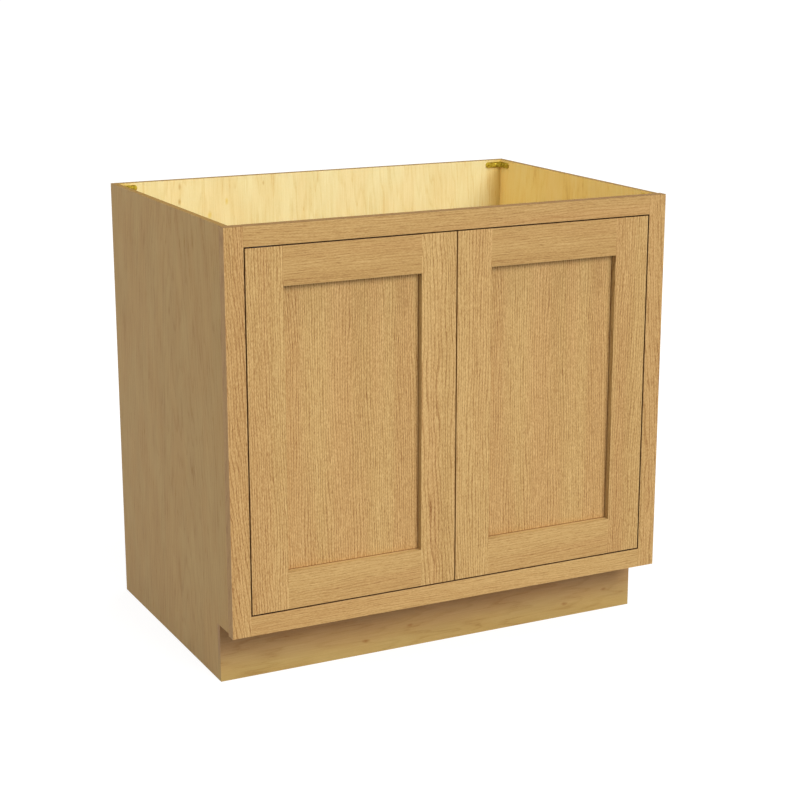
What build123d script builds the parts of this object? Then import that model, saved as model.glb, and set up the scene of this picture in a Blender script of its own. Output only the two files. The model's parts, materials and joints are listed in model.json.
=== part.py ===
from build123d import *
import os

# Kitchen base cabinet: plywood box, oak face frame and two flush inset doors.
# Millimetres, origin on the floor at the middle of the plan, +X right, +Y to the wall.

# Box
box_width = 914.4
total_height = 876.3
total_depth = 637.0
side_thickness = 12.0
back_thickness = 16.0
deck_thickness = 12.0
dado_depth = 5.0

# Toe space and the pieces under the deck
toe_height = 114.0
toe_depth = 79.0
kick_thickness = 12.0
cleat_height = 60.0

# Face frame
frame_thickness = 21.0
frame_overhang = 4.7
frame_stile_width = 37.5
top_rail_width = 37.5
bottom_rail_width = 38.3
dowel_radius = 4.0
dowel_length = 40.0
dowel_spacing = 18.0
arris = 0.8

# Doors, as thick as the face frame
door_gap = 2.2
door_member_width = 72.6
panel_thickness = 6.0
panel_play = 0.2
panel_side_room = 1.0
back_lip = 2.1
groove_depth = 10.0

# Knife hinges in the top and bottom edges of the doors
pivot_inset = 14.0
pivot_setback = 7.0
leaf_width = 9.5
leaf_reach = 38.0
leaf_thickness = 2.0
pin_radius = 2.4
pin_clearance = 0.05
pin_end_room = 0.2
washer_radius = 4.6
leaf_screw_places = (16.0, 30.0)

# Stop block, magnetic catches and strike plates
stop_width = 180.0
stop_thickness = 18.0
stop_overlap = 14.0
stop_rim_drop = 8.0
stop_screw_spacing = 140.0
catch_offset = 45.0
catch_width = 46.0
catch_depth = 15.0
catch_height = 13.0
catch_screw_spacing = 37.0
pole_width = 26.0
pole_thickness = 1.6
pole_depth = 10.0
pole_spacing = 5.0
pole_stand_out = 0.6
strike_width = 40.0
strike_height = 12.0
strike_thickness = 1.2
strike_screw_spacing = 28.0

# Corner braces in the rim
brace_leg = 38.0
brace_height = 12.0
brace_thickness = 2.0
brace_bend = 2.0
brace_drop = 4.3
brace_hole_radius = 1.7
brace_hole_places = (13.0, 29.0)

# Shelf, its front strip and its pins
shelf_thickness = 18.0
shelf_side_room = 1.5
shelf_back_room = 2.0
shelf_setback = 30.0
strip_depth = 20.0
pin_row_start = 250.0
pin_row_pitch = 32.0
pin_row_count = 8
shelf_row = 3
pin_row_inset = 60.0
pin_hole_radius = 2.5
pin_hole_depth = 9.0
pin_shank_clearance = 0.05
pin_plate_width = 9.0
pin_plate_thickness = 1.5
pin_plate_drop = 9.0
pin_tab_rise = 3.5
pin_tab_reach = 14.0

# Screws: head radius, head height, shank radius, shank length
brace_screw = (3.2, 1.6, 1.6, 8.0)
leaf_screw = (2.8, 1.0, 1.5, 16.0)
stop_screw = (4.0, 2.2, 2.0, 30.0)
catch_screw = (2.8, 1.5, 1.5, 23.0)
strike_screw = (2.4, 0.7, 1.2, 10.0)

# Places that follow from the sizes
front = -total_depth / 2
rear = total_depth / 2
frame_back = front + frame_thickness
back_face = rear - back_thickness
box_half = box_width / 2
inner_half = box_half - side_thickness
frame_half = box_half + frame_overhang
opening_half = frame_half - frame_stile_width
opening_bottom = toe_height + bottom_rail_width
opening_top = total_height - top_rail_width
deck_bottom = opening_bottom - deck_thickness
kick_front = front + toe_depth
kick_back = kick_front + kick_thickness
subrail_back = kick_back + side_thickness

door_thickness = frame_thickness
groove_width = panel_thickness + panel_play
groove_front = front + door_thickness - back_lip - groove_width
door_back = front + door_thickness
door_outer = -opening_half + door_gap
door_inner = -door_gap / 2
door_bottom = opening_bottom + door_gap
door_top = opening_top - door_gap
field_left = door_outer + door_member_width
field_right = door_inner - door_member_width
field_bottom = door_bottom + door_member_width
field_top = door_top - door_member_width

pivot_x = door_outer + pivot_inset
pivot_y = front + pivot_setback
stop_bottom = door_top - stop_overlap
catch_front = door_back + strike_thickness
strike_middle = stop_bottom - catch_height / 2
pin_row_bottom = opening_bottom + pin_row_start
shelf_bottom = pin_row_bottom + shelf_row * pin_row_pitch + pin_tab_rise
shelf_front = frame_back + shelf_setback
pin_columns = (frame_back + pin_row_inset, back_face - pin_row_inset)


def block(x, y, z):
    """Box between two limits on each axis."""
    size = [high - low for low, high in (x, y, z)]
    middle = [(low + high) / 2 for low, high in (x, y, z)]
    return Pos(*middle) * Box(*size)


def rod(origin, direction, radius, length):
    """Cylinder that starts at a point and runs along a direction."""
    low_end = (Align.CENTER, Align.CENTER, Align.MIN)
    return Plane(origin=origin, z_dir=direction) * Cylinder(radius, length, align=low_end)


def screw(seat, outward, sizes):
    """Screw whose head stands on its seat, outward, and whose shank runs the other way."""
    head_radius, head_height, shank_radius, shank_length = sizes
    inward = tuple(-value for value in outward)
    head = rod(seat, outward, head_radius, head_height)
    return head + rod(seat, inward, shank_radius, shank_length)


def flipped(shape):
    """The same piece on the other side of the cabinet."""
    return mirror(shape, about=Plane.YZ)


def group(shapes):
    """Several loose pieces of one kind, kept together."""
    return Compound([solid for shape in shapes for solid in shape.solids()])


def save(name, shape):
    export_step(shape, f"parts/{name}.step")


def save_pair(name, shape):
    """A left piece and its mirrored right twin."""
    save(f"left_{name}", shape)
    save(f"right_{name}", flipped(shape))


def front_edges(shape):
    """Edges of the face that looks into the room."""
    return shape.edges().filter_by_position(Axis.Y, front, front)


os.makedirs("parts", exist_ok=True)

# Side panels, notched at the toe space, grooved for the deck and drilled for the shelf pins
side = block((-box_half, -inner_half), (frame_back, rear), (0, total_height))
side -= block((-box_half, -inner_half), (frame_back, kick_back), (0, toe_height))
deck_level = (deck_bottom, opening_bottom)
side -= block((-inner_half - dado_depth, -inner_half), (frame_back, back_face), deck_level)
for column in pin_columns:
    for row in range(pin_row_count):
        hole = (-inner_half, column, pin_row_bottom + row * pin_row_pitch)
        side -= rod(hole, (-1, 0, 0), pin_hole_radius, pin_hole_depth)
save_pair("side_panel", side)

# Back, deck and the pieces under the deck
across = (-inner_half, inner_half)
save("back_panel", block(across, (back_face, rear), (0, total_height)))
deck_half = inner_half + dado_depth
save("deck", block((-deck_half, deck_half), (frame_back, back_face), deck_level))
save("toe_kick_board", block((-box_half, box_half), (kick_front, kick_back), (0, toe_height)))
save("toe_subrail", block(across, (kick_back, subrail_back), (0, deck_bottom)))
cleat_front = back_face - side_thickness
cleat_level = (deck_bottom - cleat_height, deck_bottom)
save("rear_cleat", block(across, (cleat_front, back_face), cleat_level))
rib_half = side_thickness / 2
save("deck_rib", block((-rib_half, rib_half), (subrail_back, cleat_front), cleat_level))

# Knife hinge leaves of the left door: the pin is fixed in the frame leaf
def leaf_plate(low):
    outline = Pos(pivot_x + leaf_reach / 2, pivot_y, low) * SlotCenterToCenter(leaf_reach, leaf_width)
    return extrude(outline, leaf_thickness)


def leaf_screws(level, outward):
    """Screws whose heads are flush with the leaf's open side."""
    sunk = level - outward * leaf_screw[1]
    seats = [(pivot_x + place, pivot_y, sunk) for place in leaf_screw_places]
    return [screw(seat, (0, 0, outward), leaf_screw) for seat in seats]


pin_length = door_gap + leaf_thickness - pin_end_room
bearing_radius = pin_radius + pin_clearance
frame_screws = []
door_screws = []
for end, frame_level, door_level, toward_door in (
    ("top", opening_top, door_top, -1),
    ("bottom", opening_bottom, door_bottom, 1),
):
    away = -toward_door
    frame_plate = leaf_plate(frame_level if away > 0 else frame_level - leaf_thickness)
    door_plate = leaf_plate(door_level if toward_door > 0 else door_level - leaf_thickness)
    frame_end_screws = leaf_screws(frame_level, toward_door)
    door_end_screws = leaf_screws(door_level, away)
    for part in frame_end_screws:
        frame_plate -= part
    for part in door_end_screws:
        door_plate -= part
    pivot = (pivot_x, pivot_y, frame_level)
    frame_plate += rod(pivot, (0, 0, toward_door), pin_radius, pin_length)
    bearing = (pivot_x, pivot_y, door_level)
    door_plate -= rod(bearing, (0, 0, toward_door), bearing_radius, leaf_thickness)
    frame_screws += frame_end_screws
    door_screws += door_end_screws
    save_pair(f"frame_leaf_{end}", frame_plate)
    save_pair(f"door_leaf_{end}", door_plate)
save("frame_leaf_screws", group(frame_screws + [flipped(part) for part in frame_screws]))
save_pair("door_leaf_screws", group(door_screws))

pivot_floor = (pivot_x, pivot_y, opening_bottom)
washer = rod(pivot_floor, (0, 0, 1), washer_radius, door_gap)
washer -= rod(pivot_floor, (0, 0, 1), bearing_radius, door_gap)
save("thrust_washers", group([washer, flipped(washer)]))

# Face frame: full-height stiles, rails between them with beds for the hinge leaves
frame_depth = (front, frame_back)
frame_stile = block((-frame_half, -opening_half), frame_depth, (toe_height, total_height))
outer_edge = front_edges(frame_stile).filter_by(Axis.Z).sort_by(Axis.X)[:1]
save_pair("frame_stile", fillet(outer_edge, arris))

rail_span = (-opening_half, opening_half)
top_rail = block(rail_span, frame_depth, (opening_top, total_height))
top_rail = fillet(front_edges(top_rail).filter_by(Axis.X).sort_by(Axis.Z)[:1], arris)
top_bed = leaf_plate(opening_top)
save("frame_top_rail", top_rail - top_bed - flipped(top_bed))
bottom_rail = block(rail_span, frame_depth, (toe_height, opening_bottom))
bottom_rail = fillet(front_edges(bottom_rail).filter_by(Axis.X).sort_by(Axis.Z)[-1:], arris)
bottom_bed = leaf_plate(opening_bottom - leaf_thickness)
save("frame_bottom_rail", bottom_rail - bottom_bed - flipped(bottom_bed))

dowel_middle = (front + frame_back) / 2
rail_middles = (toe_height + bottom_rail_width / 2, total_height - top_rail_width / 2)
dowels = []
for rail_middle in rail_middles:
    for offset in (-dowel_spacing / 2, dowel_spacing / 2):
        start = (-opening_half - dowel_length / 2, dowel_middle, rail_middle + offset)
        dowels.append(rod(start, (1, 0, 0), dowel_radius, dowel_length))
save("frame_dowels", group(dowels + [flipped(dowel) for dowel in dowels]))

# Left door, mirrored for the right: grooved stiles, tongued rails and a loose panel
door_depth = (front, door_back)
groove = (groove_front, groove_front + groove_width)
door_height = (door_bottom, door_top)

hinge_stile = block((door_outer, field_left), door_depth, door_height)
hinge_stile = fillet(front_edges(hinge_stile).sort_by(Axis.X)[:-1], arris)
hinge_stile -= block((field_left - groove_depth, field_left), groove, door_height)
hinge_stile -= leaf_plate(door_top - leaf_thickness)
hinge_stile -= leaf_plate(door_bottom)
save_pair("door_hinge_stile", hinge_stile)

meeting_stile = block((field_right, door_inner), door_depth, door_height)
meeting_stile = fillet(front_edges(meeting_stile).sort_by(Axis.X)[1:], arris)
meeting_stile -= block((field_right, field_right + groove_depth), groove, door_height)
save_pair("door_meeting_stile", meeting_stile)

field = (field_left, field_right)
tongues = (field_left - groove_depth, field_right + groove_depth)
upper = (field_top, door_top)
door_top_rail = block(field, door_depth, upper)
top_edge = front_edges(door_top_rail).filter_by(Axis.X).sort_by(Axis.Z)[-1:]
door_top_rail = fillet(top_edge, arris)
door_top_rail += block(tongues, groove, upper)
door_top_rail -= block(tongues, groove, (field_top, field_top + groove_depth))
save_pair("door_top_rail", door_top_rail)

lower = (door_bottom, field_bottom)
door_bottom_rail = block(field, door_depth, lower)
bottom_edge = front_edges(door_bottom_rail).filter_by(Axis.X).sort_by(Axis.Z)[:1]
door_bottom_rail = fillet(bottom_edge, arris)
door_bottom_rail += block(tongues, groove, lower)
door_bottom_rail -= block(tongues, groove, (field_bottom - groove_depth, field_bottom))
save_pair("door_bottom_rail", door_bottom_rail)

panel_across = (tongues[0] + panel_side_room, tongues[1] - panel_side_room)
panel_level = (field_bottom - groove_depth, field_top + groove_depth - panel_side_room)
panel_depth = (groove_front, groove_front + panel_thickness)
save_pair("door_panel", block(panel_across, panel_depth, panel_level))

# Stop block behind the top rail, with a magnetic catch under it for each door
stop_back = frame_back + stop_thickness
stop_half = stop_width / 2
stop_top = total_height - stop_rim_drop
save("stop_block", block((-stop_half, stop_half), (frame_back, stop_back), (stop_bottom, stop_top)))
stop_screw_level = (opening_top + stop_top) / 2
stop_seat = (-stop_screw_spacing / 2, stop_back, stop_screw_level)
stop_fixing = screw(stop_seat, (0, 1, 0), stop_screw)
save("stop_screws", group([stop_fixing, flipped(stop_fixing)]))

catch_bottom = stop_bottom - catch_height
housing_front = catch_front + pole_stand_out
catch_span = (-catch_offset - catch_width / 2, -catch_offset + catch_width / 2)
housing = block(catch_span, (housing_front, catch_front + catch_depth), (catch_bottom, stop_bottom))
pole_span = (-catch_offset - pole_width / 2, -catch_offset + pole_width / 2)
poles = []
for offset in (-pole_spacing / 2, pole_spacing / 2):
    pole_bottom = strike_middle + offset - pole_thickness / 2
    pole_level = (pole_bottom, pole_bottom + pole_thickness)
    pole = block(pole_span, (catch_front, catch_front + pole_depth), pole_level)
    poles.append(pole)
    housing -= pole
catch_middle = (housing_front + catch_front + catch_depth) / 2
catch_fixings = []
for offset in (-catch_screw_spacing / 2, catch_screw_spacing / 2):
    fixing = screw((-catch_offset + offset, catch_middle, catch_bottom), (0, 0, -1), catch_screw)
    catch_fixings.append(fixing)
    housing -= fixing
save_pair("catch_housing", housing)
save("catch_poles", group(poles + [flipped(pole) for pole in poles]))
save("catch_screws", group(catch_fixings + [flipped(fixing) for fixing in catch_fixings]))

strike_span = (-catch_offset - strike_width / 2, -catch_offset + strike_width / 2)
strike_level = (strike_middle - strike_height / 2, strike_middle + strike_height / 2)
strike = block(strike_span, (door_back, catch_front), strike_level)
strike_fixings = []
for offset in (-strike_screw_spacing / 2, strike_screw_spacing / 2):
    seat = (-catch_offset + offset, catch_front - strike_screw[1], strike_middle)
    fixing = screw(seat, (0, 1, 0), strike_screw)
    strike_fixings.append(fixing)
    strike -= fixing
save_pair("strike_plate", strike)
save_pair("strike_screws", group(strike_fixings))

# Corner braces: strip angles with rounded ends, legs along -X and -Y from the corner
leg_straight = brace_leg - brace_height / 2
brace_level = (0, brace_height)
brace_middle = brace_height / 2
brace = block((-brace_thickness, 0), (-leg_straight, 0), brace_level)
brace += block((-leg_straight, 0), (-brace_thickness, 0), brace_level)
inside_corner = (-brace_thickness, -brace_thickness, brace_middle)
inside_edge = brace.edges().filter_by(Axis.Z).sort_by_distance(inside_corner)[:1]
brace = fillet(inside_edge, brace_bend)
brace += rod((0, -leg_straight, brace_middle), (-1, 0, 0), brace_height / 2, brace_thickness)
brace += rod((-leg_straight, 0, brace_middle), (0, -1, 0), brace_height / 2, brace_thickness)
brace_screws = []
for place in brace_hole_places:
    brace -= rod((0, -place, brace_middle), (-1, 0, 0), brace_hole_radius, brace_thickness)
    brace -= rod((-place, 0, brace_middle), (0, -1, 0), brace_hole_radius, brace_thickness)
    brace_screws.append(screw((-brace_thickness, -place, brace_middle), (-1, 0, 0), brace_screw))
    brace_screws.append(screw((-place, -brace_thickness, brace_middle), (0, -1, 0), brace_screw))
brace_bottom = total_height - brace_drop - brace_height


def at_rear_left(shape):
    return flipped(Pos(inner_half, back_face, brace_bottom) * shape)


def at_front_left(shape):
    return flipped(Pos(inner_half, frame_back, brace_bottom) * mirror(shape, about=Plane.XZ))


save_pair("rear_brace", at_rear_left(brace))
save_pair("front_brace", at_front_left(brace))
left_screws = [place(part) for part in brace_screws for place in (at_rear_left, at_front_left)]
save("brace_screws", group(left_screws + [flipped(part) for part in left_screws]))

# Adjustable shelf with a solid strip along its front edge, on four spoon pins
shelf_half = inner_half - shelf_side_room
shelf_span = (-shelf_half, shelf_half)
shelf_level = (shelf_bottom, shelf_bottom + shelf_thickness)
strip_back = shelf_front + strip_depth
save("shelf", block(shelf_span, (strip_back, back_face - shelf_back_room), shelf_level))
shelf_strip = block(shelf_span, (shelf_front, strip_back), shelf_level)
strip_front_edges = shelf_strip.edges().filter_by(Axis.X).sort_by(Axis.Y)[:2]
save("shelf_front_strip", fillet(strip_front_edges, arris))

pin_level = shelf_bottom - pin_tab_rise
pins = []
for column in pin_columns:
    width = (column - pin_plate_width / 2, column + pin_plate_width / 2)
    tab_level = (shelf_bottom - pin_plate_thickness, shelf_bottom)
    plate_level = (pin_level - pin_plate_drop, shelf_bottom)
    pin = block((-inner_half, -inner_half + pin_tab_reach), width, tab_level)
    pin += block((-inner_half, -inner_half + pin_plate_thickness), width, plate_level)
    shank_radius = pin_hole_radius - pin_shank_clearance
    pin += rod((-inner_half, column, pin_level), (-1, 0, 0), shank_radius, pin_hole_depth)
    pins.append(pin)
save("shelf_pins", group(pins + [flipped(pin) for pin in pins]))
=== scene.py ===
import bpy
import json
import math
from mathutils import Matrix, Vector


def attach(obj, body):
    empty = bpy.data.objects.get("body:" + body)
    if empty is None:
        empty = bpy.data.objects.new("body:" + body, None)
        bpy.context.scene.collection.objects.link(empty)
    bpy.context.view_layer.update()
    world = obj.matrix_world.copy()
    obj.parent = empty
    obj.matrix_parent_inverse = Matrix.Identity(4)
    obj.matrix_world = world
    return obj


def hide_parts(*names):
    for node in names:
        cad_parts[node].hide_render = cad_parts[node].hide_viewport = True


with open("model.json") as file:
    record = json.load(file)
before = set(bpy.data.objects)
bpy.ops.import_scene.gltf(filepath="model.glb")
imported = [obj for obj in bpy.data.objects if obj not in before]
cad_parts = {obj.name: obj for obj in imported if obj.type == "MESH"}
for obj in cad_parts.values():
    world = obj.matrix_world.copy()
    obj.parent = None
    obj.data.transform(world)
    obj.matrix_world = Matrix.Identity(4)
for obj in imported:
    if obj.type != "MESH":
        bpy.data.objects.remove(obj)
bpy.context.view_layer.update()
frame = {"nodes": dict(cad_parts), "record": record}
nodes = frame["nodes"]
scene = bpy.context.scene
bpy.ops.object.select_all(action="DESELECT")
print("cabinet frame loaded,", len(nodes), "nodes")


# node helpers
def paint(red, green, blue):  # screen colour 0-255 to the linear colour that sockets take
    def straight(value):
        share = value / 255
        return share / 12.92 if share <= 0.04045 else ((share + 0.055) / 1.055) ** 2.4
    return (straight(red), straight(green), straight(blue), 1.0)


def put(tree, kind, inputs=None, **settings):
    node = tree.nodes.new(kind)
    for name, value in settings.items():
        setattr(node, name, value)
    for key, value in (inputs or {}).items():
        if isinstance(value, bpy.types.NodeSocket):
            tree.links.new(value, node.inputs[key])
        else:
            node.inputs[key].default_value = value
    return node


def calc(tree, operation, *values, clamp=False):
    node = put(tree, "ShaderNodeMath", dict(enumerate(values)), operation=operation, use_clamp=clamp)
    return node.outputs[0]


def vector(tree, operation, *values):
    node = put(tree, "ShaderNodeVectorMath", dict(enumerate(values)), operation=operation)
    return node.outputs["Value"] if operation == "LENGTH" else node.outputs["Vector"]


def mixed(tree, factor, first, second):
    return put(tree, "ShaderNodeMix", {0: factor, 6: first, 7: second}, data_type="RGBA").outputs[2]


def remap(tree, value, low, high, first=0.0, second=1.0):  # eased from first to second
    inputs = {0: value, 1: low, 2: high, 3: first, 4: second}
    return put(tree, "ShaderNodeMapRange", inputs, clamp=True, interpolation_type="SMOOTHSTEP").outputs[0]


def cloud(tree, place, stretch, detail=2.0):  # noise with one cell per 1/stretch metres on each axis
    scaled = vector(tree, "MULTIPLY", place, stretch)
    return put(tree, "ShaderNodeTexNoise", {"Vector": scaled, "Scale": 1.0, "Detail": detail}).outputs[0]


def split(tree, place):
    return put(tree, "ShaderNodeSeparateXYZ", {0: place}).outputs


def joined(tree, *values):
    return put(tree, "ShaderNodeCombineXYZ", dict(enumerate(values))).outputs[0]


def centred(tree, value, amount):
    return calc(tree, "MULTIPLY", calc(tree, "SUBTRACT", value, 0.5), amount)


def newGroup(name, inputs, outputs):
    tree = bpy.data.node_groups.new(name, "ShaderNodeTree")
    for label, value in inputs.items():
        kind = "NodeSocketFloat"
        if isinstance(value, tuple):
            kind = "NodeSocketColor" if len(value) == 4 else "NodeSocketVector"
        tree.interface.new_socket(label, in_out="INPUT", socket_type=kind).default_value = value
    for label, kind in outputs.items():
        tree.interface.new_socket(label, in_out="OUTPUT", socket_type="NodeSocket" + kind)
    return tree, tree.nodes.new("NodeGroupInput").outputs, tree.nodes.new("NodeGroupOutput").inputs


# sawn board: z runs along the grain, y through the board from its face
grain = {  # cells per metre across and along the grain, then how far each one reaches
    "driftCells": (26.0, 26.0, 18.0),
    "driftReach": 0.003,
    "bendCells": (4.0, 4.0, 1.6),
    "bendReach": 0.05,
    "unevenCells": (45.0, 45.0, 5.0),
    "unevenReach": 3.2,
    "poreCells": (480.0, 480.0, 45.0),
    "poreSoft": 0.14,
    "streakCells": (400.0, 400.0, 15.0),
    "fibreCells": (500.0, 500.0, 210.0),
    "bandCells": 24.0,
    "flushCells": (0.8, 0.8, 0.8),
    "earlyEnd": 0.36,
    "lateStart": 0.86,
    "ringMean": 0.25,
    "porousShare": 0.6,
    "rough": 0.46,
    "poreRough": 0.25,
    "fibreRelief": 0.3,
}


def makeBoardFigure():
    tree, given, out = newGroup("boardFigure", {
        "Vector": (0.0, 0.0, 0.0),
        "Dark": (0.3, 0.2, 0.1, 1.0),
        "Mid": (0.5, 0.3, 0.15, 1.0),
        "Light": (0.7, 0.5, 0.2, 1.0),
        "Ring Pitch": 0.006,
        "Heart Depth": 0.08,
        "Lean": 0.04,
        "Ring": 0.2,
        "Pore": 0.3,
        "Pore Start": 0.52,
        "Streak": 0.3,
        "Fibre": 0.2,
        "Band": 0.3,
        "Band Run": 3.0,
        "Fineness": 1.0,
        "Flush": (1.0, 1.0, 1.0, 1.0),
        "Tone": 0.62,
    }, {"Color": "Color", "Roughness": "Float", "Height": "Float"})
    drift = centred(tree, cloud(tree, given["Vector"], grain["driftCells"]), grain["driftReach"])
    place = vector(tree, "ADD", given["Vector"], joined(tree, drift, drift))
    across, through, along = split(tree, place)
    bend = centred(tree, cloud(tree, place, grain["bendCells"]), grain["bendReach"])
    sunk = calc(tree, "ADD", calc(tree, "ADD", through, given["Heart Depth"]),
                calc(tree, "MULTIPLY", along, given["Lean"]))
    radius = vector(tree, "LENGTH", joined(tree, calc(tree, "ADD", across, bend), sunk))
    uneven = centred(tree, cloud(tree, place, grain["unevenCells"]), grain["unevenReach"])
    turns = calc(tree, "ADD", calc(tree, "DIVIDE", radius, given["Ring Pitch"]), uneven)
    phase = calc(tree, "FRACT", turns)
    early = calc(tree, "MAXIMUM", remap(tree, phase, 0.0, grain["earlyEnd"], 1.0, 0.0),
                 remap(tree, phase, grain["lateStart"], 1.0))
    fine = vector(tree, "MULTIPLY", place, joined(tree, given["Fineness"], given["Fineness"], 1.0))
    poreEnd = calc(tree, "ADD", given["Pore Start"], grain["poreSoft"])
    pores = remap(tree, cloud(tree, fine, grain["poreCells"], 1.0), given["Pore Start"], poreEnd)
    crowd = calc(tree, "MULTIPLY_ADD", early, grain["porousShare"], 1.0 - grain["porousShare"])
    porous = calc(tree, "MULTIPLY", pores, crowd)
    streak = cloud(tree, fine, grain["streakCells"], 1.0)
    fibre = cloud(tree, fine, grain["fibreCells"], 1.0)
    bandScale = joined(tree, grain["bandCells"], grain["bandCells"], given["Band Run"])
    wide = vector(tree, "MULTIPLY", place, bandScale)
    band = cloud(tree, wide, (1.0, 1.0, 1.0))
    flush = remap(tree, cloud(tree, wide, grain["flushCells"], 1.0), 0.38, 0.62)
    tone = calc(tree, "ADD", given["Tone"], centred(tree, band, given["Band"]))
    tone = calc(tree, "ADD", tone, centred(tree, streak, given["Streak"]))
    tone = calc(tree, "ADD", tone, centred(tree, fibre, given["Fibre"]))
    rings = calc(tree, "SUBTRACT", early, grain["ringMean"])
    tone = calc(tree, "SUBTRACT", tone, calc(tree, "MULTIPLY", rings, given["Ring"]))
    tone = calc(tree, "SUBTRACT", tone, calc(tree, "MULTIPLY", porous, given["Pore"]))
    low = mixed(tree, calc(tree, "MULTIPLY", tone, 2.0, clamp=True), given["Dark"], given["Mid"])
    high = calc(tree, "MULTIPLY_ADD", tone, 2.0, -1.0, clamp=True)
    colour = mixed(tree, high, low, given["Light"])
    flushed = vector(tree, "MULTIPLY", colour, given["Flush"])
    tree.links.new(mixed(tree, flush, colour, flushed), out["Color"])
    tree.links.new(calc(tree, "MULTIPLY_ADD", porous, grain["poreRough"], grain["rough"]), out["Roughness"])
    relief = calc(tree, "SUBTRACT", calc(tree, "MULTIPLY", fibre, grain["fibreRelief"]), porous)
    tree.links.new(relief, out["Height"])
    return tree


# small round knot with a dark heart, drawn out along the grain
def makeKnotMark():
    tree, given, out = newGroup("knotMark", {
        "Vector": (0.0, 0.0, 0.0),
        "Centre": (0.0, 0.0, 0.0),
        "Reach": 0.01,
        "Stretch": (1.0, 0.0, 0.45),
        "Color": (0.5, 0.4, 0.2, 1.0),
        "Knot": (0.3, 0.15, 0.06, 1.0),
    }, {"Color": "Color"})
    wobble = put(tree, "ShaderNodeTexNoise", {"Vector": given["Vector"], "Scale": 90.0, "Detail": 2.0})
    away = vector(tree, "SUBTRACT", given["Vector"], given["Centre"])
    away = vector(tree, "MULTIPLY", away, given["Stretch"])
    distance = calc(tree, "DIVIDE", vector(tree, "LENGTH", away), given["Reach"])
    distance = calc(tree, "ADD", distance, centred(tree, wobble.outputs[0], 0.9))
    halo = remap(tree, distance, 0.25, 1.2, 0.45, 0.0)
    heart = remap(tree, distance, 0.0, 0.5, 0.7, 0.0)
    share = calc(tree, "MAXIMUM", halo, heart)
    tree.links.new(mixed(tree, share, given["Color"], given["Knot"]), out["Color"])
    return tree


# layers of plywood, seen on a cut edge
def makePlyEdge():
    tree, given, out = newGroup("plyEdge", {
        "Vector": (0.0, 0.0, 0.0),
        "Through": 0.0,
        "Layer": 0.0024,
        "Pale": (0.5, 0.4, 0.2, 1.0),
        "Deep": (0.3, 0.2, 0.1, 1.0),
    }, {"Color": "Color"})
    ripple = centred(tree, cloud(tree, given["Vector"], (40.0, 40.0, 40.0)), 0.25)
    layers = calc(tree, "DIVIDE", given["Through"], given["Layer"])
    turn = calc(tree, "FRACT", calc(tree, "ADD", layers, ripple))
    stripe = calc(tree, "PINGPONG", turn, 0.5)
    speck = cloud(tree, given["Vector"], (500.0, 500.0, 500.0))
    share = calc(tree, "ADD", remap(tree, stripe, 0.15, 0.35), centred(tree, speck, 0.7), clamp=True)
    tree.links.new(mixed(tree, share, given["Deep"], given["Pale"]), out["Color"])
    return tree


# colour band along the edges of a rectangle in the front's plane, thinning out behind it; the front's gaps
# and recesses get painted shade from it
def makeEdgeBand():
    tree, given, out = newGroup("edgeBand", {
        "Vector": (0.0, 0.0, 0.0),
        "Middle": (0.0, 0.0, 0.0),
        "Half": (0.2, 0.0, 0.3),
        "Reach": 0.001,
        "Front": 0.0,
        "Run Out": 1.0,
        "Strength": 1.0,
        "Color": (0.5, 0.4, 0.2, 1.0),
        "BandColour": (0.2, 0.1, 0.04, 1.0),
    }, {"Color": "Color"})
    away = vector(tree, "SUBTRACT", given["Vector"], given["Middle"])
    away = vector(tree, "SUBTRACT", vector(tree, "ABSOLUTE", away), given["Half"])
    across, _, high = split(tree, away)
    edge = calc(tree, "ABSOLUTE", calc(tree, "MAXIMUM", across, high))
    share = remap(tree, edge, calc(tree, "MULTIPLY", given["Reach"], 0.2), given["Reach"], 1.0, 0.0)
    behind = calc(tree, "SUBTRACT", split(tree, given["Vector"])[1], given["Front"])
    share = calc(tree, "MULTIPLY", share, remap(tree, behind, 0.0, given["Run Out"], 1.0, 0.2))
    share = calc(tree, "MULTIPLY", share, given["Strength"])
    tree.links.new(mixed(tree, share, given["Color"], given["BandColour"]), out["Color"])
    return tree


# tint that turns from one to another along an axis, with a ragged border; it paints light and shade into the
# kick and the back's corners
def makePaintedShadingTint():
    tree, given, out = newGroup("paintedShadingTint", {
        "Vector": (0.0, 0.0, 0.0),
        "Place": 0.0,
        "Start": 0.0,
        "End": 0.1,
        "Ragged": 0.01,
        "First": (1.0, 1.0, 1.0, 1.0),
        "Second": (1.0, 1.0, 1.0, 1.0),
        "Color": (0.5, 0.4, 0.2, 1.0),
    }, {"Color": "Color"})
    wander = calc(tree, "SUBTRACT", cloud(tree, given["Vector"], (9.0, 9.0, 40.0), 3.0), 0.5)
    border = calc(tree, "MULTIPLY_ADD", wander, given["Ragged"], given["Place"])
    tint = mixed(tree, remap(tree, border, given["Start"], given["End"]), given["First"], given["Second"])
    tree.links.new(vector(tree, "MULTIPLY", given["Color"], tint), out["Color"])
    return tree


boardFigure = makeBoardFigure()
knotMark = makeKnotMark()
plyEdge = makePlyEdge()
edgeBand = makeEdgeBand()
paintedShadingTint = makePaintedShadingTint()
print("wood effects built")


def newMaterial(name, gloss):
    material = bpy.data.materials.new(name)
    material.use_nodes = True
    tree = material.node_tree
    tree.nodes.clear()
    shader = put(tree, "ShaderNodeBsdfPrincipled", {"Specular IOR Level": gloss})
    tree.links.new(shader.outputs[0], put(tree, "ShaderNodeOutputMaterial").inputs[0])
    return material, tree, shader


def placed(group, tree, **inputs):
    node = tree.nodes.new("ShaderNodeGroup")
    node.node_tree = group
    for key, value in inputs.items():
        socket = node.inputs[key.replace("_", " ")]
        if isinstance(value, bpy.types.NodeSocket):
            tree.links.new(value, socket)
        else:
            socket.default_value = value
    return node


def wear(nodeName, material):  # gives a CAD node its finish
    piece = nodes[nodeName]
    piece.data.materials.clear()
    piece.data.materials.append(material)


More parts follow.
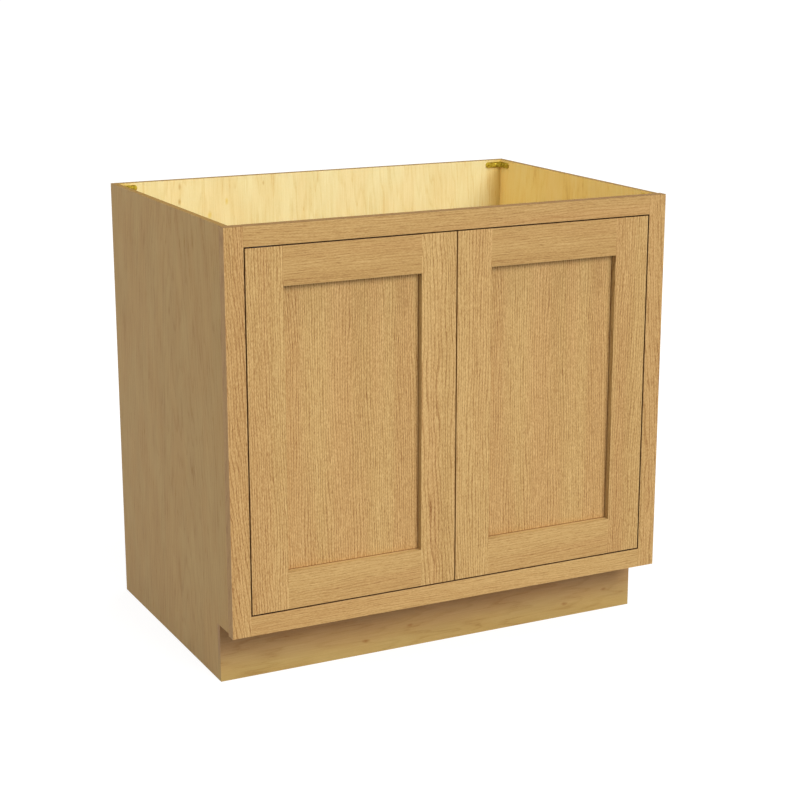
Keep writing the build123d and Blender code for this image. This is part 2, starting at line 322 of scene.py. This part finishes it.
def cutEdge(tree, normal, axis):  # dull sawn edges, between the two faces across an axis
    return calc(tree, "LESS_THAN", calc(tree, "ABSOLUTE", split(tree, normal)["XYZ".index(axis)]), 0.5)


def emboss(tree, shader, height, strength, distance):
    bump = put(tree, "ShaderNodeBump", {"Height": height, "Strength": strength, "Distance": distance})
    tree.links.new(bump.outputs[0], shader.inputs["Normal"])


grainTurn = {
    "up": (0.0, 0.0, 0.0),
    "upSide": (0.0, 0.0, math.pi / 2),
    "along": (0.0, math.pi / 2, 0.0),
    "deep": (math.pi / 2, 0.0, 0.0),
}


def boardPlace(tree, run, shift):  # object coordinates turned so that z follows the grain
    coordinates = put(tree, "ShaderNodeTexCoord")
    return put(tree, "ShaderNodeMapping", {
        "Vector": coordinates.outputs["Object"],
        "Location": shift,
        "Rotation": grainTurn[run],
    }).outputs[0]


# oak of the face frame and doors
oak = {
    "dark": paint(140, 96, 52),
    "mid": paint(187, 148, 91),
    "light": paint(220, 185, 124),
    "raw": paint(110, 80, 42),
    # painted shade in the gaps round the doors and the opening, thinning out behind the front
    "frameGapShade": paint(92, 60, 32),
    "doorGapShade": paint(112, 74, 40),
    "meetGapShade": paint(160, 120, 70),
    # painted shade along the panels' edges, in the corners of their recesses
    "panelCornerShade": paint(128, 86, 48),
    # painted shade on the recess walls of the doors' stiles and rails
    "recessWallShade": paint(132, 124, 80),
    "recessWallShadeShare": 0.28,
    "flush": (1.0, 0.962, 0.975, 1.0),
    "pitch": 0.0047,
    "pore": 0.24,
    "poreStart": 0.5,
    "streak": {"up": 0.5, "along": 0.45},
    "fibre": {"up": 1.1, "along": 0.55},
    "band": 0.42,
    "bandRun": 1.2,
    "fineness": 1.8,
    "relief": 0.00025,
    "bump": 0.5,
    "gloss": 0.18,
    "rim": 0.8757,
    "rimSoft": 0.0004,
    "rimShare": 0.75,
    "side": paint(184, 150, 112),
    "sideShare": 0.65,
    "sideReach": 0.0008,
    # how far the painted shade in the gaps, on the recess walls and along the panel edges reaches
    "gapShadeReach": 0.0005,
    "panelShadeReach": 0.0022,
    "runOut": 0.014,
}
frontFace = -0.3185
panelFace = -0.3058
frontMiddle = 0.49555  # height of the middle of the doors
openingHalf = (0.4244, 0.0, 0.34325)
frameHalf = (0.4619, 0.0, 2.0)
doorHalf = (0.21055, 0.0, 0.34105)
panelHalf = (0.13795, 0.0, 0.26845)
doorPitch = 0.4233  # from one door to the other


def oakFinish(name, run, shift, depth, lean, ring, tone, trims):
    material, tree, shader = newMaterial(name, oak["gloss"])
    coordinates = put(tree, "ShaderNodeTexCoord").outputs
    spot = coordinates["Object"]
    figure = placed(boardFigure, tree, Vector=boardPlace(tree, run, shift), Dark=oak["dark"],
                    Mid=oak["mid"], Light=oak["light"], Ring_Pitch=oak["pitch"], Heart_Depth=depth,
                    Lean=lean, Ring=ring, Pore=oak["pore"], Pore_Start=oak["poreStart"],
                    Streak=oak["streak"][run], Fibre=oak["fibre"][run], Band=oak["band"],
                    Band_Run=oak["bandRun"], Fineness=oak["fineness"], Flush=oak["flush"], Tone=tone).outputs
    colour = figure["Color"]
    for trim in trims:
        colour = placed(edgeBand, tree, Vector=spot, Color=colour, **trim).outputs[0]
    rim = remap(tree, split(tree, spot)[2], oak["rim"], oak["rim"] + oak["rimSoft"])
    colour = mixed(tree, calc(tree, "MULTIPLY", rim, oak["rimShare"]), colour, oak["raw"])
    tree.links.new(colour, shader.inputs["Base Color"])
    sawn = cutEdge(tree, coordinates["Normal"], "Y")
    tree.links.new(calc(tree, "MAXIMUM", figure["Roughness"], sawn), shader.inputs["Roughness"])
    emboss(tree, shader, figure["Height"], oak["bump"], oak["relief"])
    return material


# each board: grain direction, shift of the log, depth and lean of its heart, strength of its rings, tone
oakBoards = {
    "left_frame_stile": ("up", (0.30, 0.0, 0.2), 0.14, 0.14, 0.28, 0.55),
    "right_frame_stile": ("up", (-0.56, 0.0, 1.4), 0.05, 0.04, 0.25, 0.55),
    "frame_top_rail": ("along", (0.10, 0.0, 3.1), 0.12, 0.03, 0.14, 0.59),
    "frame_bottom_rail": ("along", (0.62, 0.0, 5.3), 0.06, 0.03, 0.14, 0.62),
}
doorBoards = {
    "hinge_stile": ("up", (0.25, 0.0, 2.2), 0.12, 0.05, 0.32, 0.6),
    "meeting_stile": ("up", (0.16, 0.0, 7.7), 0.12, 0.04, 0.34, 0.63),
    "top_rail": ("along", (0.40, 0.0, 9.7), 0.05, 0.06, 0.12, 0.56),
    "bottom_rail": ("along", (0.33, 0.0, 12.6), 0.14, 0.03, 0.12, 0.61),
    "panel": ("up", (0.62, 0.0, 4.5), 0.16, 0.05, 0.34, 0.63),
}
# painted shade along the opening's edges, where the door gaps fall into shade
openingShadeTrim = dict(Middle=(0.0, 0.0, frontMiddle), Half=openingHalf, Front=frontFace, Run_Out=oak["runOut"],
                   Reach=oak["gapShadeReach"], BandColour=oak["frameGapShade"])
sideTrim = dict(Half=frameHalf, Reach=oak["sideReach"], Strength=oak["sideShare"], BandColour=oak["side"])
for board, look in oakBoards.items():
    wear(board, oakFinish(board.replace("_", "-") + "-oak", *look, (openingShadeTrim, sideTrim)))
for part, (run, shift, *figure) in doorBoards.items():
    for side, step in (("left", 0.0), ("right", doorPitch)):  # both doors are cut alike
        moved = list(shift)
        moved[0 if run == "up" else 2] += -step if run == "up" else step
        middle = (step - doorPitch / 2, 0.0, frontMiddle)
        if part == "panel":
            # painted shade along the panel's edges, under the rails and beside the stiles
            trims = (dict(Middle=middle, Half=panelHalf, Front=panelFace, Run_Out=oak["runOut"],
                          Reach=oak["panelShadeReach"], BandColour=oak["panelCornerShade"]),)
        else:
            # painted shade in the gap round each door, and on the recess walls round its panel
            gapShadeColour = oak["meetGapShade" if part == "meeting_stile" else "doorGapShade"]
            trims = (dict(Middle=middle, Half=doorHalf, Front=frontFace, Run_Out=oak["runOut"],
                          Reach=oak["gapShadeReach"], BandColour=gapShadeColour),
                     dict(Middle=middle, Half=panelHalf, Reach=oak["gapShadeReach"],
                          Strength=oak["recessWallShadeShare"], BandColour=oak["recessWallShade"]))
        wear(side + "_door_" + part, oakFinish(side + "-" + part + "-oak", run, moved, *figure, trims))
print("oak front finished")


# maple veneered plywood of the box, and its solid battens
maple = {
    "innerDark": paint(200, 161, 84),
    "innerMid": paint(220, 205, 149),
    "innerLight": paint(232, 222, 174),
    # the side walls' inner faces get a warmer, more saturated copy of the inner maple: painted shade,
    # standing in for the warm bounce-lit shade on those walls
    "wallDark": paint(204, 154, 70),
    "wallMid": paint(236, 206, 121),
    "wallLight": paint(241, 218, 146),
    "kickDark": paint(144, 102, 55),
    "kickMid": paint(175, 141, 87),
    "kickLight": paint(187, 154, 100),
    "outerDark": paint(150, 106, 57),
    "outerMid": paint(182, 147, 92),
    "outerLight": paint(195, 163, 108),
    "rearDark": paint(190, 146, 92),
    "rearMid": paint(222, 188, 136),
    "rearLight": paint(232, 202, 152),
    "shelfDark": paint(182, 140, 82),
    "shelfMid": paint(208, 184, 130),
    "shelfLight": paint(222, 202, 150),
    "edgePale": paint(190, 160, 106),
    "edgeDeep": paint(140, 108, 64),
    "rimPale": paint(160, 128, 73),
    "rimDeep": paint(126, 96, 50),
    "knot": paint(142, 88, 44),
    "bark": paint(174, 134, 52),
    "gold": paint(212, 183, 62),
    "pitch": 0.009,
    "ring": {"inner": 0.17, "wall": 0.14, "kick": 0.2, "outer": 0.19, "rear": 0.17, "shelf": 0.14},
    "gloss": 0.06,
    "relief": 0.0001,
    "bump": 0.25,
    "knotRun": 0.45,
    "pore": 0.24,
    "poreStart": 0.64,
    "streak": 0.5,
    "bandRun": 7.0,
    "flush": (1.0, 0.965, 0.935, 1.0),
    "band": 0.66,
    "rim": 0.8757,
    "rimSoft": 0.0004,
    "layer": 0.0024,
}


def mapleFinish(name, run, shift, depth, lean, layered=None, outside=None, knots=(), veneer="inner",
                show="outer", fade=None):
    material, tree, shader = newMaterial(name, maple["gloss"])
    coordinates = put(tree, "ShaderNodeTexCoord").outputs
    spot = coordinates["Object"]
    axes = split(tree, spot)
    board = boardPlace(tree, run, shift)

    def veneerFigure(kind):
        return placed(boardFigure, tree, Vector=board, Dark=maple[kind + "Dark"], Mid=maple[kind + "Mid"],
                      Light=maple[kind + "Light"], Ring=maple["ring"][kind], Ring_Pitch=maple["pitch"],
                      Heart_Depth=depth, Lean=lean, Pore=maple["pore"], Pore_Start=maple["poreStart"],
                      Streak=maple["streak"], Band=maple["band"], Band_Run=maple["bandRun"],
                      Flush=maple["flush"]).outputs

    figure = veneerFigure(veneer)
    colour = figure["Color"]
    rough = figure["Roughness"]
    stretch = (maple["knotRun"], 0.0, 1.0) if run == "along" else (1.0, 0.0, maple["knotRun"])
    for centre, reach, tone in knots:
        colour = placed(knotMark, tree, Vector=spot, Centre=centre, Reach=reach, Stretch=stretch,
                        Color=colour, Knot=maple[tone]).outputs[0]
    if fade:  # painted light at the kick's foot, painted shade at its top and in the back's inner corners
        away = calc(tree, "ABSOLUTE", axes["XYZ".index(fade["axis"])])
        colour = placed(paintedShadingTint, tree, Vector=spot, Place=away, Start=fade["start"], End=fade["end"],
                        Ragged=fade["ragged"], First=fade["first"], Second=fade["second"],
                        Color=colour).outputs[0]
    if layered:  # axis through the sheet, whose cut edges show the plies
        through = axes["XYZ".index(layered)]
        if outside is not None:  # the show side has its own veneer
            shown = calc(tree, "GREATER_THAN", calc(tree, "ABSOLUTE", through), outside)
            colour = mixed(tree, shown, colour, veneerFigure(show)["Color"])
        plies = dict(Vector=spot, Through=through, Layer=maple["layer"])
        layers = placed(plyEdge, tree, Pale=maple["edgePale"], Deep=maple["edgeDeep"], **plies).outputs[0]
        rimLayers = placed(plyEdge, tree, Pale=maple["rimPale"], Deep=maple["rimDeep"], **plies).outputs[0]
        rim = remap(tree, axes[2], maple["rim"], maple["rim"] + maple["rimSoft"])
        cut = cutEdge(tree, coordinates["Normal"], layered)
        colour = mixed(tree, cut, colour, mixed(tree, rim, layers, rimLayers))
        rough = calc(tree, "MAXIMUM", rough, cut)
    tree.links.new(colour, shader.inputs["Base Color"])
    tree.links.new(rough, shader.inputs["Roughness"])
    emboss(tree, shader, figure["Height"], maple["bump"], maple["relief"])
    return material


backKnots = (((-0.3151, 0.3025, 0.8623), 0.0034, "bark"), ((-0.3165, 0.3025, 0.8307), 0.0034, "bark"),
             ((-0.2503, 0.3025, 0.7991), 0.0050, "gold"), ((-0.2123, 0.3025, 0.8250), 0.0040, "gold"),
             ((-0.1290, 0.3025, 0.8585), 0.0026, "bark"))
kickKnots = (((0.30, -0.2395, 0.0272), 0.0042, "knot"), ((0.3949, -0.2395, 0.0435), 0.0038, "knot"),
             ((-0.1537, -0.2395, 0.0273), 0.0038, "knot"), ((-0.057, -0.2395, 0.0436), 0.0034, "knot"))
# painted shade in the back panel's inner corners, darker and warmer towards the side walls
backCornerPaintedShade = dict(axis="X", start=0.4, end=0.4452, ragged=0.004, first=(1.0, 1.0, 1.0, 1.0),
                second=(0.88, 0.76, 0.46, 1.0))
# painted light at the foot of the kick and painted shade at its top, under the frame's overhang
kickPaintedLightAndShade = dict(axis="Z", start=-0.005, end=0.08, ragged=0.03, first=(1.17, 1.26, 1.2, 1.0),
                second=(0.93, 0.86, 1.04, 1.0))
mapleBoards = {
    "left_side_panel": dict(run="upSide", shift=(-0.06, 0.0, 0.3), depth=0.53, lean=0.09, layered="X",
                            outside=0.4515, veneer="wall"),
    "right_side_panel": dict(run="upSide", shift=(0.05, 0.0, 2.3), depth=-0.30, lean=0.07, layered="X",
                             outside=0.4515, veneer="wall"),
    "back_panel": dict(run="up", shift=(0.12, 0.0, 5.1), depth=0.10, lean=0.05, layered="Y", outside=0.3105,
                       knots=backKnots, show="rear", fade=backCornerPaintedShade),
    "deck": dict(run="along", shift=(0.0, 0.1, 8.2), depth=0.10, lean=0.03, layered="Z", veneer="shelf"),
    "shelf": dict(run="along", shift=(0.0, 0.3, 9.4), depth=0.10, lean=0.03, layered="Z", veneer="shelf"),
    "shelf_front_strip": dict(run="along", shift=(0.1, 0.2, 11.4), depth=0.10, lean=0.03),
    "toe_kick_board": dict(run="along", shift=(0.02, 0.1, 14.2), depth=0.05, lean=0.06, veneer="kick",
                           knots=kickKnots, fade=kickPaintedLightAndShade),
    "toe_subrail": dict(run="along", shift=(0.1, 0.2, 15.2), depth=0.07, lean=0.04),
    "rear_cleat": dict(run="along", shift=(0.1, 0.2, 17.2), depth=0.07, lean=0.04),
    "deck_rib": dict(run="deep", shift=(0.1, 0.2, 18.2), depth=0.07, lean=0.04),
    "stop_block": dict(run="along", shift=(0.1, 0.2, 19.2), depth=0.07, lean=0.04),
    "frame_dowels": dict(run="along", shift=(0.1, 0.2, 21.2), depth=0.07, lean=0.04),
}
for board, look in mapleBoards.items():
    wear(board, mapleFinish(board.replace("_", "-") + "-maple", **look))
print("maple box finished")


# plated steel, brass and plastics of the hardware: two tones, metallic, roughness range
metals = {
    "yellow_zinc": (paint(193, 175, 62), paint(157, 132, 34), 0.75, (0.35, 0.55)),
    "hinge_brass": (paint(92, 66, 40), paint(62, 42, 24), 1.0, (0.38, 0.55)),
    "screw_steel": (paint(190, 188, 180), paint(150, 150, 148), 1.0, (0.3, 0.5)),
    "nickel_steel": (paint(204, 200, 192), paint(170, 168, 164), 1.0, (0.2, 0.4)),
    "nylon": (paint(50, 37, 25), paint(36, 26, 17), 0.0, (0.45, 0.6)),
    "catch_plastic": (paint(150, 106, 70), paint(134, 92, 58), 0.0, (0.4, 0.55)),
}
plating = {
    "gloss": 0.3,
    "mottleCells": (160.0, 160.0, 160.0),
    "speckCells": (2600.0, 2600.0, 2600.0),
    "speckShare": 0.4,
    "bump": 0.1,
    "relief": 0.0001,
}


def platedFinish(name, first, second, metallic, rough):
    material, tree, shader = newMaterial(name, plating["gloss"])
    spot = put(tree, "ShaderNodeTexCoord").outputs["Object"]
    mottle = cloud(tree, spot, plating["mottleCells"], 3.0)
    speck = cloud(tree, spot, plating["speckCells"])
    grit = centred(tree, speck, plating["speckShare"])
    share = calc(tree, "ADD", remap(tree, mottle, 0.35, 0.65), grit, clamp=True)
    tree.links.new(mixed(tree, share, second, first), shader.inputs["Base Color"])
    tree.links.new(remap(tree, mottle, 0.3, 0.7, *rough), shader.inputs["Roughness"])
    shader.inputs["Metallic"].default_value = metallic
    emboss(tree, shader, speck, plating["bump"], plating["relief"])
    return material


slotFinish = {slot: platedFinish(slot.replace("_", "-"), *look) for slot, look in metals.items()}
for subpart in frame["record"]["subparts"]:
    if subpart["material_slot"] in slotFinish:
        wear(subpart["node"], slotFinish[subpart["material_slot"]])
print("hardware finished")


# modelling helpers
def pickFaces(piece, test):  # edit mode, with only the faces selected that pass the test
    bpy.ops.object.mode_set(mode="EDIT")
    bpy.ops.mesh.select_mode(type="FACE")
    bpy.ops.mesh.select_all(action="DESELECT")
    bpy.ops.object.mode_set(mode="OBJECT")
    for face in piece.data.polygons:
        face.select = test(face.center, face.normal)
    bpy.ops.object.mode_set(mode="EDIT")


def pullFaces(distance):
    bpy.ops.mesh.extrude_region_move(TRANSFORM_OT_translate={"value": distance})


def onlySelect(pieces):
    bpy.ops.object.select_all(action="DESELECT")
    for piece in pieces:
        piece.select_set(True)
    bpy.context.view_layer.objects.active = pieces[0]


def subtract(piece, cutter):
    onlySelect([piece])
    cut = piece.modifiers.new("cut", "BOOLEAN")
    cut.object = cutter
    cut.solver = "EXACT"
    cut.use_self = True
    bpy.ops.object.modifier_apply(modifier=cut.name)
    bpy.data.objects.remove(cutter)


# cross-head screws, each kind modelled once on a seat at the origin with its head up
screwKinds = {
    "brace": dict(head=0.0032, rise=0.0016, shank=0.0016, length=0.008, crown=0.7),
    "leaf": dict(head=0.0028, rise=0.0010, shank=0.0015, length=0.016, crown=0.15),
    "stop": dict(head=0.0040, rise=0.0022, shank=0.0020, length=0.030, crown=0.7),
    "catch": dict(head=0.0028, rise=0.0015, shank=0.0015, length=0.023, crown=0.7),
    "strike": dict(head=0.0024, rise=0.0007, shank=0.0012, length=0.010, crown=0.2),
}


screwForm = {
    "sides": 32,
    "point": 0.2,  # share of the shank
    "tip": 0.25,
    "crownSteps": 4,
    "crossReach": 1.15,
    "crossWidth": 0.3,
    "crossDepth": 0.6,
    "crossTaper": (0.6, 0.7, 1.0),
    "crossClear": 0.0001,
    "smooth": math.radians(35),
}


def modelScrew(kind, head, rise, shank, length, crown):
    bpy.ops.object.select_all(action="DESELECT")
    bpy.ops.mesh.primitive_cylinder_add(vertices=screwForm["sides"], radius=head, depth=rise,
                                        location=(0.0, 0.0, rise / 2))
    piece = bpy.context.object
    piece.name = kind + "Screw"
    bpy.ops.object.transform_apply()
    pickFaces(piece, lambda middle, normal: normal.z < -0.9)
    bpy.ops.mesh.inset(thickness=head - shank)
    pullFaces((0.0, 0.0, -length * (1.0 - screwForm["point"])))
    pullFaces((0.0, 0.0, -length * screwForm["point"]))
    bpy.ops.transform.resize(value=(screwForm["tip"], screwForm["tip"], 1.0))
    pickFaces(piece, lambda middle, normal: normal.z > 0.9 and middle.z > rise * 0.9)
    bpy.ops.mesh.bevel(offset=rise * crown, segments=screwForm["crownSteps"], affect="EDGES")
    bpy.ops.object.mode_set(mode="OBJECT")
    deep = rise * screwForm["crossDepth"]
    bpy.ops.object.select_all(action="DESELECT")
    bpy.ops.mesh.primitive_cube_add(
        size=1.0, location=(0.0, 0.0, rise - deep / 2 + screwForm["crossClear"]),
        scale=(head * screwForm["crossReach"], head * screwForm["crossWidth"], deep))
    cutter = bpy.context.object
    bpy.ops.object.transform_apply()
    pickFaces(cutter, lambda middle, normal: normal.z < -0.9)
    bpy.ops.transform.resize(value=screwForm["crossTaper"])
    bpy.ops.mesh.select_all(action="SELECT")
    bpy.ops.mesh.duplicate()
    bpy.ops.transform.rotate(value=math.pi / 2, orient_axis="Z", center_override=(0.0, 0.0, 0.0))
    bpy.ops.object.mode_set(mode="OBJECT")
    subtract(piece, cutter)
    bpy.ops.object.shade_smooth_by_angle(angle=screwForm["smooth"])
    return piece


def setScrews(name, kind, seats, body, slot, *stoodFor):
    copies = []
    for seat, outward in seats:
        copy = screwModels[kind].copy()
        copy.data = screwModels[kind].data.copy()
        turn = Vector(outward).to_track_quat("Z", "Y").to_matrix().to_4x4()
        copy.data.transform(Matrix.Translation(seat) @ turn)
        scene.collection.objects.link(copy)
        copies.append(copy)
    onlySelect(copies)
    bpy.ops.object.join()
    piece = bpy.context.object
    piece.name = name
    piece.data.materials.clear()
    piece.data.materials.append(slotFinish[slot])
    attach(piece, body)
    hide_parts(*stoodFor)


screwModels = {kind: modelScrew(kind, **sizes) for kind, sizes in screwKinds.items()}

# seats of the screws, on the right; side -1 gives the left
seats = {
    "inside": 0.4452,
    "backInside": 0.3025,
    "frameInside": -0.2975,
    "braceThick": 0.002,
    "braceHeight": 0.866,
    "braceSteps": (0.013, 0.029),
    "pivot": (0.4082, -0.3115),
    "leafSteps": (0.016, 0.030),
    "frameLeafHeights": (0.8398, 0.1513),
    "doorLeafHeights": (0.8356, 0.1555),
    "catchMiddle": 0.045,
    "catchSteps": (-0.0185, 0.0185),
    "catchSeat": (-0.2885, 0.8096),
    "strikeSteps": (-0.014, 0.014),
    "strikeSeat": (-0.2970, 0.8161),
    "stopStep": 0.070,
    "stopSeat": (-0.2795, 0.85355),
}
braceSeats = []
frameLeafSeats = []
catchSeats = []
stopSeats = []
doorLeafSeats = {"left": [], "right": []}
strikeSeats = {"left": [], "right": []}
for side, word in ((-1, "left"), (1, "right")):
    height = seats["braceHeight"]
    legFace = side * (seats["inside"] - seats["braceThick"])
    for step in seats["braceSteps"]:
        along = side * (seats["inside"] - step)
        braceSeats += [
            ((legFace, seats["backInside"] - step, height), (-side, 0, 0)),
            ((along, seats["backInside"] - seats["braceThick"], height), (0, -1, 0)),
            ((legFace, seats["frameInside"] + step, height), (-side, 0, 0)),
            ((along, seats["frameInside"] + seats["braceThick"], height), (0, 1, 0)),
        ]
    pivotAcross, pivotDeep = seats["pivot"]
    for step in seats["leafSteps"]:
        along = side * (pivotAcross - step)
        for up, frameLeaf, doorLeaf in zip((1, -1), seats["frameLeafHeights"], seats["doorLeafHeights"]):
            frameLeafSeats.append(((along, pivotDeep, frameLeaf), (0, 0, -up)))
            doorLeafSeats[word].append(((along, pivotDeep, doorLeaf), (0, 0, up)))
    middle = side * seats["catchMiddle"]
    catchSeats += [((middle + step, *seats["catchSeat"]), (0, 0, -1)) for step in seats["catchSteps"]]
    strikeSeats[word] += [((middle + step, *seats["strikeSeat"]), (0, 1, 0)) for step in seats["strikeSteps"]]
    stopSeats.append(((side * seats["stopStep"], *seats["stopSeat"]), (0, 1, 0)))

setScrews("braceScrewSet", "brace", braceSeats, "cabinet", "yellow_zinc", "brace_screws")
setScrews("frameLeafScrewSet", "leaf", frameLeafSeats, "cabinet", "hinge_brass", "frame_leaf_screws")
setScrews("stopScrewSet", "stop", stopSeats, "cabinet", "screw_steel", "stop_screws")
setScrews("catchScrewSet", "catch", catchSeats, "cabinet", "screw_steel", "catch_screws")
for word in ("left", "right"):
    door = word + "_door"
    setScrews(word + "LeafScrewSet", "leaf", doorLeafSeats[word], door, "hinge_brass",
              door + "_leaf_screws")
    setScrews(word + "StrikeScrewSet", "strike", strikeSeats[word], door, "screw_steel",
              word + "_strike_screws")
for model in screwModels.values():
    bpy.data.objects.remove(model)
print("screws set")


# moulded housings of the magnetic catches
catch = {
    "size": (0.046, 0.0144, 0.013),
    "place": (0.045, -0.2885, 0.8161),
    "round": 0.0022,
    "roundSteps": 4,
    "lip": 0.0016,
    "sunk": 0.0008,
    "smooth": math.radians(40),
}


def modelHousing(side, word):
    bpy.ops.object.select_all(action="DESELECT")
    bpy.ops.mesh.primitive_cube_add(size=1.0, scale=catch["size"])
    piece = bpy.context.object
    piece.name = word + "CatchCase"
    bpy.ops.object.transform_apply()
    pickFaces(piece, lambda middle, normal: abs(normal.x) > 0.9)
    bpy.ops.mesh.bevel(offset=catch["round"], segments=catch["roundSteps"], affect="EDGES")
    pickFaces(piece, lambda middle, normal: normal.y < -0.99)
    bpy.ops.mesh.inset(thickness=catch["lip"])
    pullFaces((0.0, catch["sunk"], 0.0))
    pickFaces(piece, lambda middle, normal: normal.y > 0.99)
    bpy.ops.mesh.inset(thickness=catch["lip"])
    pullFaces((0.0, -catch["sunk"], 0.0))
    bpy.ops.object.mode_set(mode="OBJECT")
    bpy.ops.object.shade_smooth_by_angle(angle=catch["smooth"])
    across, deep, high = catch["place"]
    piece.data.transform(Matrix.Translation((side * across, deep, high)))
    piece.data.materials.append(slotFinish["catch_plastic"])
    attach(piece, "cabinet")
    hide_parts(word + "_catch_housing")


modelHousing(-1, "left")
modelHousing(1, "right")
print("catches set")


# white sweep, soft key from the upper right, even sky
studio = {
    "floorSize": 120.0,
    "floorGlow": 0.86,
    "floorTint": 0.24,
    "floorBounce": 0.4,
    "sky": 0.5,
    "keySide": math.radians(18),
    "keyHeight": math.radians(33),
    "keySpread": math.radians(34),
    "keyPower": 2.08,
    "keyAway": 5.0,
}
# each soft box: place, aim, size, power
softBoxes = {
    "topLight": ((0.0, -0.6, 3.0), (0.0, -0.6, 0.0), (1.8, 0.35), 27.0),
    "fillLight": ((-6.0, 0.0, 2.4), (0.0, 0.0, 0.85), (1.3, 1.3), 50.0),
    "rearLight": ((2.6, 3.6, 1.8), (0.0, 0.0, 0.4), (1.3, 1.3), 34.0),
}


def seenDirectly(tree):  # camera, glossy and transmission rays see plain white
    path = put(tree, "ShaderNodeLightPath").outputs
    seen = calc(tree, "MAXIMUM", path["Is Camera Ray"], path["Is Glossy Ray"])
    return calc(tree, "MAXIMUM", seen, path["Is Transmission Ray"])


bpy.ops.mesh.primitive_plane_add(size=studio["floorSize"])
floor = bpy.context.object
floor.name = "studioFloor"
floorFinish = bpy.data.materials.new("studio-floor")
floorFinish.use_nodes = True
floorTree = floorFinish.node_tree
floorTree.nodes.clear()
tint = studio["floorTint"]
bounce = studio["floorBounce"]
pureWhite = (1.0, 1.0, 1.0, 1.0)
soft = put(floorTree, "ShaderNodeBsdfDiffuse", {"Color": (tint, tint, tint, 1.0)})
glow = put(floorTree, "ShaderNodeEmission", {"Color": pureWhite, "Strength": studio["floorGlow"]})
white = put(floorTree, "ShaderNodeAddShader", {0: soft.outputs[0], 1: glow.outputs[0]})
plain = put(floorTree, "ShaderNodeBsdfDiffuse", {"Color": (bounce, bounce, bounce, 1.0)})
chosen = put(floorTree, "ShaderNodeMixShader",
             {0: seenDirectly(floorTree), 1: plain.outputs[0], 2: white.outputs[0]})
floorTree.links.new(chosen.outputs[0], put(floorTree, "ShaderNodeOutputMaterial").inputs[0])
floor.data.materials.append(floorFinish)

world = bpy.data.worlds.new("studioSky")
scene.world = world
world.use_nodes = True
sky = world.node_tree
sky.nodes.clear()
strength = calc(sky, "MULTIPLY_ADD", seenDirectly(sky), 1.0 - studio["sky"], studio["sky"])
backdrop = put(sky, "ShaderNodeBackground", {"Color": pureWhite, "Strength": strength})
sky.links.new(backdrop.outputs[0], put(sky, "ShaderNodeOutputWorld").inputs[0])

keyWay = Vector((math.sin(studio["keySide"]) * math.cos(studio["keyHeight"]),
                 -math.cos(studio["keySide"]) * math.cos(studio["keyHeight"]),
                 math.sin(studio["keyHeight"])))
bpy.ops.object.light_add(type="SUN", location=keyWay * studio["keyAway"])
key = bpy.context.object
key.name = "keyLight"
key.rotation_euler = keyWay.to_track_quat("Z", "Y").to_euler()
key.data.angle = studio["keySpread"]
key.data.energy = studio["keyPower"]

for name, (place, aim, size, power) in softBoxes.items():
    way = Vector(place) - Vector(aim)
    bpy.ops.object.light_add(type="AREA", location=place, rotation=way.to_track_quat("Z", "Y").to_euler())
    box = bpy.context.object
    box.name = name
    box.data.shape = "RECTANGLE"
    box.data.size, box.data.size_y = size
    box.data.energy = power

# camera at the photograph's place
view = {
    "place": (-1.59104, -3.24681, 1.37763),
    "turn": math.radians(-26.690),
    "drop": math.radians(14.5179),
    "lens": 81.933,
    "sensor": 36.0,
    "farEnd": 200.0,
}
bpy.ops.object.camera_add(location=view["place"])
camera = bpy.context.object
camera.name = "mainCamera"
camera.rotation_euler = (math.pi / 2 - view["drop"], 0.0, view["turn"])
camera.data.lens = view["lens"]
camera.data.sensor_width = view["sensor"]
camera.data.clip_end = view["farEnd"]
scene.camera = camera
scene.view_settings.view_transform = "Standard"
print("studio and camera set")
